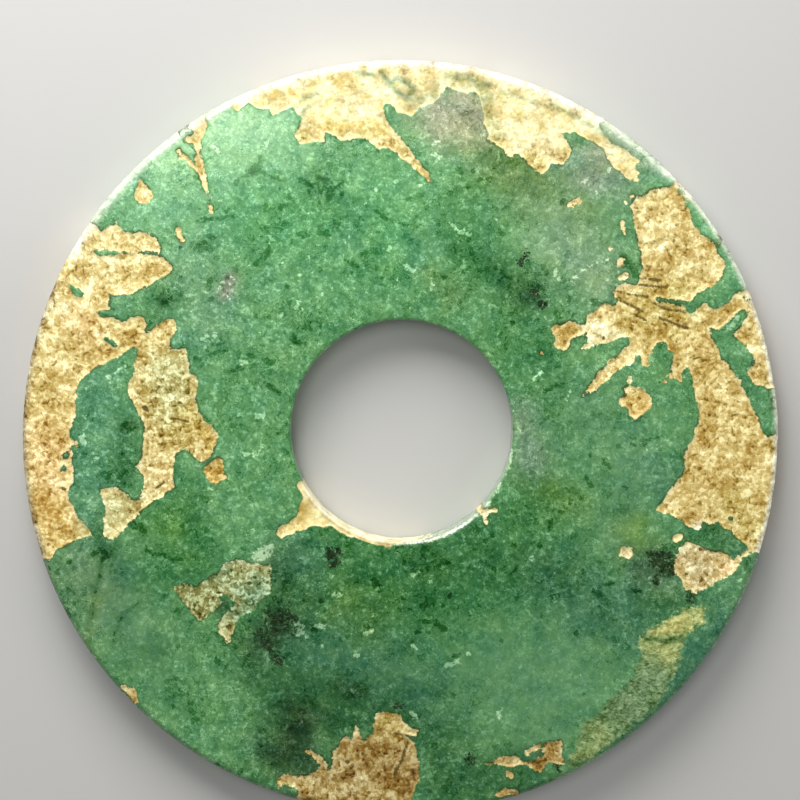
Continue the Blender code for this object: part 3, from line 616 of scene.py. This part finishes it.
MATRIX_CLOUDS = (
    # Painted highlight: the broad pale cloud across the top patches, where light floods the upper edge;
    # the small pale spots further on are the matrix's own
    ("ivory", 0.9, 7, (-20, 44), (-4, 45), (4, 45), (14, 43), (26, 40)),
    ("orange", 0.35, 1.2, (-9, 43.2)), ("honey", 0.5, 1.1, (-20, 45.8), (-16, 45.2), (-12, 44.8)),
    ("honey", 0.6, 0.9, (-8, 47.2), (-6.5, 47.2)), ("khaki", 0.6, 0.9, (-13.4, 40.1), (-12.4, 39.9)),
    ("honey", 0.9, 1.3, (-10.5, 41.6), (-7, 41), (-2.5, 40.8)),
    ("khaki", 0.5, 0.6, (-10.2, 41.4), (-8.6, 41)), ("khaki", 0.5, 0.6, (-4.6, 40.6), (-2.4, 40.4)),
    ("khaki", 0.35, 1, (0.5, 38.5), (3, 35.5)), ("khaki", 0.6, 1.1, (12.2, 39.6), (13.4, 38.6)),
    ("khaki", 0.7, 0.6, (15.6, 42.6)), ("khaki", 0.6, 0.9, (16.8, 37), (18.8, 36.2)),
    ("khaki", 0.6, 0.8, (22, 37.4)), ("khaki", 0.5, 0.7, (13.4, 44.8)), ("khaki", 0.5, 0.7, (25.5, 39.6)),
    ("khaki", 0.5, 0.7, (18.8, 40.9)), ("khaki", 0.5, 0.6, (20.6, 43.6)),
    ("brown", 0.6, 0.8, (20.2, 37.2)), ("brown", 0.5, 0.7, (14.2, 36.9)), ("khaki", 0.4, 1, (10.4, 47)),
    ("cream", 0.5, 5, (-36, 29), (-40, 24)), ("cream", 0.4, 3.5, (-46, 18), (-43, 25)),
    ("orange", 0.6, 1.6, (-42.5, 16.5), (-41, 14)), ("ivory", 0.9, 0.9, (-44.2, 17.4)),
    ("cream", 0.4, 5, (-46, 10), (-44, 13)), ("orange", 0.5, 4, (-47, -1), (-46.5, -6)),
    ("gold", 0.6, 4, (-47, -11)), ("grey", 0.8, 4, (-30, 9), (-30, 4)), ("khaki", 0.8, 2.4, (-28.5, 2.5)),
    ("cream", 0.6, 2.4, (-33, -3), (-33, -6)), ("gold", 0.8, 2.4, (-26, 0), (-25, -4.5)),
    ("grey", 0.6, 3, (-40, -11), (-37, -9)), ("olive", 0.95, 5, (-31.5, -18.5), (-28, -21), (-24, -24)),
    ("celadon", 1, 4, (-22.5, -16.5), (-18.5, -17)), ("cream", 0.5, 1.5, (-23.5, -15.2), (-19.5, -16)),
    ("moss", 0.6, 1.3, (-24.6, -18)), ("grey", 0.8, 1.5, (-21, -18), (-19.6, -17.2)),
    ("grey", 0.6, 1.2, (-26.3, -21.6), (-25.6, -23.4)),
    ("moss", 0.95, 2.2, (-20, -20), (-18.2, -20.5), (-21, -23)),
    ("celadon", 0.9, 1.2, (-18, -18), (-17, -18.6)),
    ("grey", 1, 1.08, (-23.3, -24.2), (-23.2, -26), (-22.8, -27.8)),
    ("celadon", 0.5, 0.7, (-23.8, -24.4)),
    ("olive", 0.8, 1.08, (-31.2, -18.6), (-28.6, -21.4), (-26.4, -23.4)),
    ("olive", 0.6, 1.08, (-29.4, -19), (-26.8, -20.4), (-25, -22)), ("olive", 0.7, 1.6, (-29.5, -19)),
    ("cream", 0.5, 4, (34, 27), (38, 23)), ("khaki", 0.6, 4, (36, 18), (33, 17)),
    ("tan", 0.6, 5, (42, 3), (43, -6)), ("khaki", 0.6, 3, (44, -9), (46, -12)),
    ("rosy", 0.9, 3.5, (39.5, -17)), ("brown", 0.6, 1.2, (-28, -1), (-26.4, -3)),
    ("khaki", 0.6, 2.5, (-25, -1), (-27, 1)), ("grey", 0.5, 2, (-39.4, -9.4)),
    ("orange", 0.7, 1.5, (44, -17)), ("cream", 0.6, 2, (39, -19.5)),
    ("brown", 0.95, 8, (-8, -44), (0, -43), (2, -48)), ("khaki", 0.6, 2.2, (-2, -37.4), (3.2, -38.6)),
    ("cream", 0.4, 1.2, (-0.5, -37.6), (2.5, -38)), ("brown", 0.7, 5, (14, -43), (21, -42)),
    ("honey", 0.8, 3, (-11, -9.5), (-14, -11)), ("cream", 0.7, 1, (-15, -12.5)),
    ("ivory", 1, 1.05, (11.2, -10)), ("ivory", 1, 1.05, (29.7, -15.3)),
    ("white", 0.8, 0.8, (39.4, -11.5)), ("ivory", 0.8, 1.5, (25.8, 13.4), (27.6, 14.4)),
    ("cream", 0.7, 1.4, (29.8, 32), (29.3, 28), (27.5, 25.2), (28.9, 23.4), (29.3, 21.6)),
    ("cream", 0.7, 1.2, (22.2, 30.9), (23.5, 31.5)), ("ivory", 0.6, 0.8, (28.6, 7), (31.5, 8.4)),
    ("khaki", 0.6, 1.5, (37.5, 16), (36, 20)), ("gold", 0.6, 2.5, (31, 4.5)),
    # The cream band along the bore's lower left lip is partly the matrix's colour and partly painted
    # highlight, and the white line at its very edge is painted highlight, where the lip faces the light
    ("cream", 0.8, 1.1, *lip_arc(205, 295, off=0.2)), ("dusk", 0.5, 0.2, *lip_arc(212, 280, off=0.5)),
    ("white", 0.8, 0.4, *lip_arc(205, 290, off=0)),
    ("lichen", 0.85, 0.4, (-2.5, 48.4), (-1.5, 46.9), (-0.1, 45.5), (1.2, 45), (1.6, 46.2), (0.5, 47.2),
        (-0.6, 47.4), (-1.3, 46.8)),
    ("lichen", 0.6, 0.5, (6.9, 47.9), (9.7, 47.8)), ("lichen", 0.5, 0.6, (9.8, 46.7), (11.1, 46.6)),
    ("lichen", 0.6, 0.3, (-14.1, 43.5), (-12.7, 44.8), (-10.8, 45.5)),
    ("lichen", 0.6, 0.3, (-13.2, 42.5), (-12, 43.8)), ("grey", 0.6, 0.5, (2.4, 48.7), (3.6, 49)),
    ("grey", 0.8, 1.5, (10.5, 44), (12, 41)), ("lichen", 0.8, 0.35, (-5.6, 48.3), (-3.5, 47.9)),
    ("lichen", 0.5, 1.6, (3, 45), (10, 45)), ("lichen", 0.7, 0.9, (27, 41), (31, 38.5), (34, 36)),
)
# How lively the grain is: flattened at the top, where the painted highlight washes it out, and coarse at
# the lower left
FORCES = {
    "even": np.array([1.0]), "glare_flat": np.array([0.42]), "coarse": np.array([1.8]),
    "calm": np.array([0.4]), "lively": np.array([1.12]), "smooth": np.array([0.15]),
}
GRIT_CLOUDS = (
    ("glare_flat", 0.95, 6, (-24, 45), (-4, 46), (14, 45), (30, 40)), ("smooth", 0.95, 4, (-12, -10)),
    ("smooth", 0.95, 1.5, *lip_arc(205, 295, off=0)), ("coarse", 0.8, 6, (-27, -21), (-20, -21)),
    ("coarse", 0.4, 5, (-30, 6), (-30, -4)), ("coarse", 0.1, 8, (-8, -46), (2, -44)),
    ("coarse", 0.3, 4, (39.5, -17)), ("even", 1, 2, (-23.2, -25.6), (-23.5, -27.2)),
)
JADE_FORCE_CLOUDS = (
    ("calm", 0.9, 9, (13, -31), (22, -30), (19, -37)), ("calm", 0.75, 6, (-38, -20), (-34, -28)),
    ("calm", 0.6, 6, (24, 3), (30, -1), (29, -11)), ("calm", 0.5, 5, (-8, -30), (2, -32)),
    ("calm", 0.5, 4, (-14, -34), (-12, -41)), ("calm", 0.5, 5, (40, -28), (34, -36)),
    ("lively", 0.8, 6, (-18, 31), (-8, 32)), ("lively", 0.7, 6, (-28, 22), (-20, 12), (-13, 14)),
    ("lively", 0.5, 5, (14, 23), (25, 19)), ("lively", 0.5, 5, (-40, 2), (-38, -8)),
    ("calm", 0.4, 7, (18, 28), (26, 30)),
)
BAND_TONES = {
    "reed": paint(106, 136, 86), "straw": paint(190, 193, 119), "amber": paint(184, 176, 101),
    "mist": paint(124, 150, 110), "moss": paint(76, 108, 58),
}
BAND_CLOUDS = (
    ("straw", 0.95, 2.6, (39.5, -23.5), (36.5, -25)), ("amber", 0.7, 0.9, (37, -24.2), (34, -25.6)),
    ("straw", 0.8, 2, (33, -26.5), (35.5, -28)),
    ("moss", 0.9, 0.5, (32.6, -26.4), (35, -26.6), (37.6, -26.2)),
    ("mist", 0.6, 2.5, (34, -31), (31, -36)),
    ("moss", 0.7, 0.7, (31.5, -28.8), (29.5, -32.5), (26.5, -36.2)),
    ("straw", 0.4, 2, (26, -39), (24.5, -41.5)), ("mist", 0.5, 1.4, (28.5, -34.5)),
)


def rim_arc(start, end, inset=0.2, step=3):
    """Return places along the rounded rim between two bearings in degrees, from +X towards +Y."""
    turns = np.radians(np.linspace(start, end, round(abs(end - start) / step) + 1))
    reach = rim_radius / MM - inset
    return [(reach * math.cos(a), reach * math.sin(a)) for a in turns]


# Painted highlight: pale and white lines along the rim's rounding, brightest along its upper side and at
# the right, and along the bore's lower lip, where these edges catch the light
RIM_HIGHLIGHTS = (
    ("white", 0.85, 0.75, *rim_arc(45, 150, 0.4)), ("white", 1, 0.42, *rim_arc(-15, 45, 0.25)),
    ("ash", 0.5, 0.6, *rim_arc(150, 200)), ("ash", 0.3, 0.35, *rim_arc(-60, -15)),
    ("ash", 0.8, 0.32, *lip_arc(262, 318, off=0.2)), ("white", 0.4, 0.2, *lip_arc(262, 350, off=0.1)),
)
# On the matrix, the white along the upper and right rim is painted highlight too; the dusk band along the
# left rim is darker, and thin lichen lines run just inside the upper rim
MATRIX_RIM_CLOUDS = (
    ("white", 0.95, 0.8, *rim_arc(45, 150, 0.35)), ("dusk", 0.9, 0.7, *rim_arc(156, 200, 0.1)),
    ("white", 0.95, 0.42, *rim_arc(-20, 45, 0.25)), ("lichen", 0.55, 0.3, *rim_arc(52, 66, 1.7)),
    ("lichen", 0.45, 0.3, *rim_arc(76, 83, 1.9)), ("lichen", 0.4, 0.35, *rim_arc(68, 74, 2.3)),
)


def cloudy(places, ground, palette, clouds):
    """Return every place's colour: a ground tone with soft clouds of others laid over it."""
    drift = wobble(wobble(places[:, :2], 5.0, 1.1, 31.0), 1.6, 0.35, 37.0)
    colours = np.tile(palette[ground], (len(places), 1))
    for name, strength, reach, *path in clouds:
        where = places[:, :2] if reach < 1.1 else drift
        gap = -stroke_depth(where, 0.0, path)
        share = strength * np.exp(-(gap / reach) ** 2)
        colours += (palette[name] - colours) * share[:, None]
    return colours


jade_tint = cloudy(places, "mid", GREENS, JADE_CLOUDS + RIM_HIGHLIGHTS)
matrix_tint = cloudy(places, "tan", MATRIX_TONES, MATRIX_CLOUDS + MATRIX_RIM_CLOUDS)
band_tint = cloudy(places, "reed", BAND_TONES, BAND_CLOUDS)
grit_forces = cloudy(places, "even", FORCES, GRIT_CLOUDS)[:, 0]
jade_forces = cloudy(places, "even", FORCES, JADE_FORCE_CLOUDS)[:, 0]

shape = bpy.data.meshes.new("polished_disc")
disc.to_mesh(shape)
disc.free()
solid.free()
for name, depths in (
    ("matrix", matrix), ("dark_mark", found["dark"]), ("black_mark", found["black"]),
    ("pale_mark", found["pale"]), ("brown_mark", found["brown"]), ("crackled_band", found["band"]),
    ("grit_force", grit_forces), ("jade_force", jade_forces),
):
    layer = shape.attributes.new(name, "FLOAT", "POINT")
    layer.data.foreach_set("value", np.clip(depths, -1.5, 2.0).astype(np.float32))
for name, tint in (("jade_tint", jade_tint), ("matrix_tint", matrix_tint), ("band_tint", band_tint)):
    layer = shape.attributes.new(name, "FLOAT_COLOR", "POINT")
    rows = np.hstack([tint, np.ones((len(tint), 1))])
    layer.data.foreach_set("color", rows.astype(np.float32).ravel())

# The stone's finish
# Polished jade is glossy and finely mottled, and the matrix is dull and gritty. One material
# holds both, because they are one stone, and the depths kept on the mesh part them. Colours are
# mixed as screen values, where equal steps look equal, and turned linear at the end.
JADE_ROUGHNESS = 0.15
MATRIX_ROUGHNESS = 0.82

stone = bpy.data.materials.new("jade_and_matrix")
stone.use_nodes = True
tree = stone.node_tree
shader = tree.nodes["Principled BSDF"]
object_places = tree.nodes.new("ShaderNodeTexCoord").outputs["Object"]


def feed(socket, value):
    """Link an output to a socket, or set the socket's own value."""
    if isinstance(value, bpy.types.NodeSocket):
        tree.links.new(value, socket)
    else:
        socket.default_value = value


def sum_up(operation, *values):
    """Return the result of a sum on one or two values."""
    node = tree.nodes.new("ShaderNodeMath")
    node.operation = operation
    for socket, value in zip(node.inputs, values):
        feed(socket, value)
    return node.outputs[0]


def weigh(*parts):
    """Return the weighted sum of values that vary about a half, as steps about 0."""
    total = None
    for weight, value in parts:
        step = sum_up("MULTIPLY_ADD", value, weight, -0.5 * weight)
        total = step if total is None else sum_up("ADD", total, step)
    return total


def rise(value, start, end, low=0.0, high=1.0):
    """Return a smooth rise from low to high as a value goes from start to end."""
    node = tree.nodes.new("ShaderNodeMapRange")
    node.interpolation_type = "SMOOTHSTEP"
    for name, given in (
        ("Value", value), ("From Min", start), ("From Max", end), ("To Min", low), ("To Max", high),
    ):
        feed(node.inputs[name], given)
    return node.outputs["Result"]


def kept(name):
    """Return a depth that is kept on the mesh."""
    node = tree.nodes.new("ShaderNodeAttribute")
    node.attribute_name = name
    return node.outputs["Fac"]


def kept_tint(name):
    """Return a colour that is kept on the mesh."""
    node = tree.nodes.new("ShaderNodeAttribute")
    node.attribute_name = name
    return node.outputs["Color"]


def felt(size, detail=2.0, roughness=0.5, distortion=0.0, stretch=(1.0, 1.0, 1.0), turn=0.0):
    """Return noise whose lumps are about a given size in millimetres."""
    where = object_places
    if stretch != (1.0, 1.0, 1.0) or turn:
        mapping = tree.nodes.new("ShaderNodeMapping")
        tree.links.new(object_places, mapping.inputs["Vector"])
        mapping.inputs["Scale"].default_value = stretch
        mapping.inputs["Rotation"].default_value = (0.0, 0.0, math.radians(turn))
        where = mapping.outputs["Vector"]
    node = tree.nodes.new("ShaderNodeTexNoise")
    for name, given in (
        ("Vector", where), ("Scale", 1.0 / (size * MM)), ("Detail", detail),
        ("Roughness", roughness), ("Distortion", distortion),
    ):
        feed(node.inputs[name], given)
    return node.outputs["Fac"]


warp = tree.nodes.new("ShaderNodeTexNoise")
feed(warp.inputs["Vector"], object_places)
feed(warp.inputs["Scale"], 1.0 / (0.7 * MM))
warp.inputs["Detail"].default_value = 2.0
shift = tree.nodes.new("ShaderNodeVectorMath")
shift.operation = "MULTIPLY_ADD"
feed(shift.inputs[0], warp.outputs["Color"])
shift.inputs[1].default_value = (0.5 * MM, 0.5 * MM, 0.5 * MM)
feed(shift.inputs[2], object_places)
warped_places = shift.outputs[0]


def cells(size):
    """Return a random value for each grain of about a given size in millimetres, and its distance."""
    node = tree.nodes.new("ShaderNodeTexVoronoi")
    feed(node.inputs["Vector"], warped_places)
    feed(node.inputs["Scale"], 1.0 / (size * MM))
    parts = tree.nodes.new("ShaderNodeSeparateColor")
    tree.links.new(node.outputs["Color"], parts.inputs[0])
    return parts.outputs[0], node.outputs["Distance"]


def blend(amount, under, over):
    """Return one colour laid over another by an amount."""
    node = tree.nodes.new("ShaderNodeMix")
    node.data_type = "RGBA"
    node.clamp_factor = True
    feed(node.inputs[0], amount)
    feed(node.inputs[6], under if isinstance(under, bpy.types.NodeSocket) else (*under, 1.0))
    feed(node.inputs[7], over if isinstance(over, bpy.types.NodeSocket) else (*over, 1.0))
    return node.outputs[2]


def lighten(colour, steps, hue=(1.0, 1.0, 1.0)):
    """Return a colour moved lighter or darker by steps about 0, along a hue."""
    move = tree.nodes.new("ShaderNodeVectorMath")
    move.operation = "SCALE"
    feed(move.inputs[0], hue)
    feed(move.inputs["Scale"], steps)
    node = tree.nodes.new("ShaderNodeVectorMath")
    node.operation = "ADD"
    feed(node.inputs[0], colour)
    feed(node.inputs[1], move.outputs[0])
    return node.outputs[0]


# Jade: dark flecks in swarms, pale curds and hair-fine threads in the felted fibres
fibres = felt(1.9, 5.0, 0.85)
curls = felt(0.8, 3.0, 0.7, 1.4)
swarm = felt(6.0, 2.0, 0.5)
fine = felt(0.45, 2.0, 0.75)
large_grains, large_edge = cells(0.68)
small_grains = cells(0.36)[0]
dark_depth = kept("dark_mark")
black_reach = rise(kept("black_mark"), -1.0, 0.4)
jade_force = kept("jade_force")
jade = kept_tint("jade_tint")
jade = lighten(jade, weigh((0.22, felt(3.2, 2.0, 0.6))), (1.0, 0.8, 0.3))
flakes = sum_up("ADD", large_grains, weigh((0.9, swarm), (0.5, curls), (0.3, fine)))
flecks = sum_up("ADD", curls, weigh((0.4, swarm), (0.1, small_grains)))
crystals = sum_up("ADD", dark_depth, weigh((1.0, curls), (0.5, fine), (0.36, small_grains)))
dark = sum_up("MAXIMUM", rise(flakes, 0.94, 0.97, 0.0, 0.85), rise(flecks, 0.635, 0.66, 0.0, 0.85))
dark = sum_up("MAXIMUM", sum_up("MULTIPLY", dark, jade_force), rise(crystals, -0.08, -0.01, 0.0, 0.95))
jade = lighten(jade, sum_up("MULTIPLY", dark, -0.18), (1.1, 1.0, 1.05))
curds = sum_up("ADD", felt(0.62, 2.0, 0.6), weigh((0.12, large_grains)))
curds = sum_up("SUBTRACT", curds, weigh((0.25, swarm)))
specks = sum_up("ADD", rise(curds, 0.6, 0.64, 0.0, 0.1), rise(fine, 0.66, 0.72, 0.0, 0.14))


def threads(noise_value, level, width):
    """Return hair-fine lines, 1 at their middle, where smooth noise passes a level."""
    gap = sum_up("ABSOLUTE", sum_up("SUBTRACT", noise_value, level))
    return rise(gap, 0.0, width, 1.0, 0.0)


winding = felt(1.3, 3.0, 0.6, 1.0)
pale_threads = sum_up("MULTIPLY", threads(winding, 0.53, 0.024), rise(fibres, 0.5, 0.58, 0.03, 0.2))
specks = sum_up("MULTIPLY", sum_up("ADD", specks, pale_threads), jade_force)
jade = lighten(jade, specks)
pale = sum_up("ADD", kept("pale_mark"), weigh((0.8, curls), (0.7, fine), (0.3, small_grains)))
jade = lighten(jade, rise(pale, -0.06, 0.08, 0.0, 0.26), (1.0, 0.92, 0.9))
dark_threads = sum_up("MULTIPLY", threads(winding, 0.44, 0.02), rise(swarm, 0.42, 0.6, -0.03, -0.16))
jade = lighten(jade, sum_up("MULTIPLY", dark_threads, jade_force))

band = sum_up("ADD", kept("crackled_band"), weigh((2.4, curls), (1.6, fine)))
band = rise(band, -0.2, 0.35)
streaks = felt(0.9, 4.0, 0.75, 0.8, (1.0, 1.7, 1.0), 40.0)
banded = lighten(kept_tint("band_tint"), weigh((1.0, streaks), (0.1, small_grains)), (1.0, 1.0, 0.95))
banded = lighten(banded, threads(winding, 0.5, 0.03), (-0.1, -0.09, -0.09))
jade = blend(band, jade, banded)

charred = sum_up("ADD", curls, weigh((0.12, small_grains), (0.2, fine)))
charred = sum_up("ADD", charred, sum_up("MULTIPLY", black_reach, 0.24))
charred = sum_up("MULTIPLY", rise(charred, 0.6, 0.68, 0.0, 0.9), rise(black_reach, 0.05, 0.35))
jade = blend(charred, jade, paint(22, 40, 16))
ash_threads = sum_up("MULTIPLY", threads(winding, 0.5, 0.03), sum_up("MULTIPLY", black_reach, 0.2))
jade = lighten(jade, ash_threads, (0.8, 1.0, 0.75))
shimmer = weigh((0.34, fibres), (0.17, curls), (0.24, fine), (0.06, large_grains), (0.06, small_grains))
jade = lighten(jade, sum_up("MULTIPLY", shimmer, jade_force), (1.0, 1.0, 0.95))

# Matrix: packed grains, cream ones on a golden ground, with brown gaps
grit_force = kept("grit_force")
mottle = felt(1.4, 4.0, 0.75)
grains = weigh((0.42, large_grains), (0.46, small_grains), (0.75, mottle), (0.8, fine))
grains = sum_up("ADD", grains, rise(large_edge, 0.3, 0.7, 0.02, -0.05))
drifts = weigh((0.9, felt(2.6, 2.0, 0.6)), (0.3, mottle))
drifts = sum_up("MULTIPLY", drifts, rise(grit_force, 1.2, 1.6, 1.0, 0.35))
grit = lighten(kept_tint("matrix_tint"), drifts, (0.75, 0.9, 1.0))
light_grains = sum_up("MULTIPLY", rise(grains, -0.06, 0.24, -0.06, 0.145), grit_force)
grit = lighten(grit, light_grains, (0.78, 0.94, 1.04))
dark_gaps = sum_up("MULTIPLY", rise(grains, -0.16, -0.5, 0.0, -0.27), sum_up("MINIMUM", grit_force, 1.2))
grit = lighten(grit, dark_gaps, (1.0, 1.0, 0.97))
ragged = weigh((0.16, large_grains), (0.7, curls), (0.4, fine))
ragged = sum_up("MULTIPLY", ragged, rise(grit_force, 0.4, 0.95, 0.4, 1.0))
depth = sum_up("ADD", kept("matrix"), ragged)
spots = sum_up("MULTIPLY", rise(mottle, 0.5, 0.6), rise(grit_force, 0.95, 0.5))
spots = sum_up("MULTIPLY", spots, rise(grit_force, 0.2, 0.36, 0.0, -0.09))
grit = lighten(grit, spots, (0.5, 0.8, 1.5))
brown = sum_up("ADD", kept("brown_mark"), weigh((0.35, curls), (0.25, fine)))
grit = blend(rise(brown, -0.08, 0.08, 0.0, 0.85), grit, paint(82, 68, 24))
inner_edge = sum_up("MULTIPLY", rise(depth, 0.0, 0.12), rise(depth, 0.5, 0.2))
inner_edge = sum_up("MULTIPLY", inner_edge, rise(grit_force, 1.2, 1.6, 1.0, 0.2))
grit = blend(sum_up("MULTIPLY", inner_edge, rise(swarm, 0.4, 0.6, 0.1, 0.5)), grit, paint(252, 240, 186))

# In places a thin brown line parts the two
uneven = rise(felt(2.4, 2.0), 0.44, 0.62, 0.06, 0.68)
uneven = sum_up("MULTIPLY", uneven, rise(grit_force, 0.45, 0.9, 0.35, 1.0))
outline = sum_up("MULTIPLY", rise(depth, -0.36, -0.06), uneven)
jade = blend(outline, jade, paint(46, 66, 32))
is_matrix = rise(depth, -0.06, 0.06)
colour = blend(is_matrix, jade, grit)
linear = tree.nodes.new("ShaderNodeGamma")
feed(linear.inputs["Color"], colour)
linear.inputs["Gamma"].default_value = GAMMA
feed(shader.inputs["Base Color"], linear.outputs[0])
feed(shader.inputs["Roughness"], rise(is_matrix, 0.0, 1.0, JADE_ROUGHNESS, MATRIX_ROUGHNESS))
shader.inputs["IOR"].default_value = 1.52

jade_height = sum_up("MULTIPLY", fibres, 0.02)
grit_height = sum_up("ADD", sum_up("MULTIPLY", large_edge, -0.12), sum_up("MULTIPLY", grains, 0.1))
bumps = tree.nodes.new("ShaderNodeMix")
feed(bumps.inputs[0], is_matrix)
feed(bumps.inputs[2], jade_height)
feed(bumps.inputs[3], grit_height)
bump = tree.nodes.new("ShaderNodeBump")
bump.inputs["Distance"].default_value = MM
bump.inputs["Strength"].default_value = 0.6
feed(bump.inputs["Height"], bumps.outputs[0])
feed(shader.inputs["Normal"], bump.outputs["Normal"])

shape.materials.append(stone)
shape.shade_smooth()
polished = bpy.data.objects.new("polished_disc", shape)
bpy.context.scene.collection.objects.link(polished)
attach(polished, "root")
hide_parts("jade_disc")

# The table
# A plain pale table top that the disc lies on, wide enough to fill the view. It is a single flat
# sheet, a hair below the disc's underside, and no part of the object.
TABLE_SIZE = 3.0
TABLE_GAP = 0.05 * MM

plane = bmesh.new()
bmesh.ops.create_grid(plane, x_segments=1, y_segments=1, size=TABLE_SIZE)
bmesh.ops.translate(plane, verts=plane.verts[:], vec=(0.0, 0.0, -TABLE_GAP))
top = bpy.data.meshes.new("pale_table")
plane.to_mesh(top)
plane.free()
card = bpy.data.materials.new("pale_card")
card.use_nodes = True
card.node_tree.nodes["Principled BSDF"].inputs["Base Color"].default_value = (0.54, 0.53, 0.51, 1.0)
card.node_tree.nodes["Principled BSDF"].inputs["Roughness"].default_value = 0.8
top.materials.append(card)
table = bpy.data.objects.new("pale_table", top)
bpy.context.scene.collection.objects.link(table)


# The light and the camera
# A large soft panel stands behind the disc's upper edge, and a smaller one hangs over its upper
# left, whose haze shows in the polish there. The camera looks down as the photographer did.
def facing(place, target, up=Vector((0.0, 1.0, 0.0))):
    """Return the turn that makes a lamp or a camera at a place look at a target."""
    back = (place - target).normalized()
    right = up.cross(back).normalized()
    return Matrix((right, back.cross(right), back)).transposed().to_euler()


def soft_panel(name, place, target, size, watts, mirrored=True):
    """Add a square soft panel that shines on a target, and is mirrored in the polish or not."""
    lamp = bpy.data.objects.new(name, bpy.data.lights.new(name, "AREA"))
    lamp.data.energy = watts
    lamp.data.size = size
    lamp.location = place
    lamp.rotation_euler = facing(place, target)
    lamp.visible_camera = False
    lamp.visible_glossy = mirrored
    bpy.context.scene.collection.objects.link(lamp)


soft_panel("window", Vector((-0.08, 0.24, 0.17)), Vector((0.0, 0.0, 0.0)), 0.2, 1.15)
soft_panel("overhead", Vector((-0.115, 0.107, 0.6)), Vector((-0.02, 0.03, 0.0)), 0.2, 0.7, False)
soft_panel("sheen", Vector((-0.065, 0.084, 0.6)), Vector((-0.02, 0.03, 0.0)), 0.05, 0.075)
soft_panel("fill", Vector((0.42, 0.0, 0.25)), Vector((0.0, 0.0, 0.0)), 0.3, 0.5, False)

world = bpy.data.worlds.new("soft_room")
world.use_nodes = True
world.node_tree.nodes["Background"].inputs["Color"].default_value = (0.95, 0.98, 1.0, 1.0)
world.node_tree.nodes["Background"].inputs["Strength"].default_value = 0.2
bpy.context.scene.world = world
bpy.context.scene.view_settings.view_transform = "Standard"

camera = bpy.data.objects.new("camera", bpy.data.cameras.new("camera"))
camera.data.lens = 129.3
camera.data.clip_start = 0.01
camera.location = Vector((0.0, 29.814, 383.729)) * MM
camera.rotation_euler = facing(camera.location, Vector((-0.026, 5.249, 4.9)) * MM)
bpy.context.scene.collection.objects.link(camera)
bpy.context.scene.camera = camera
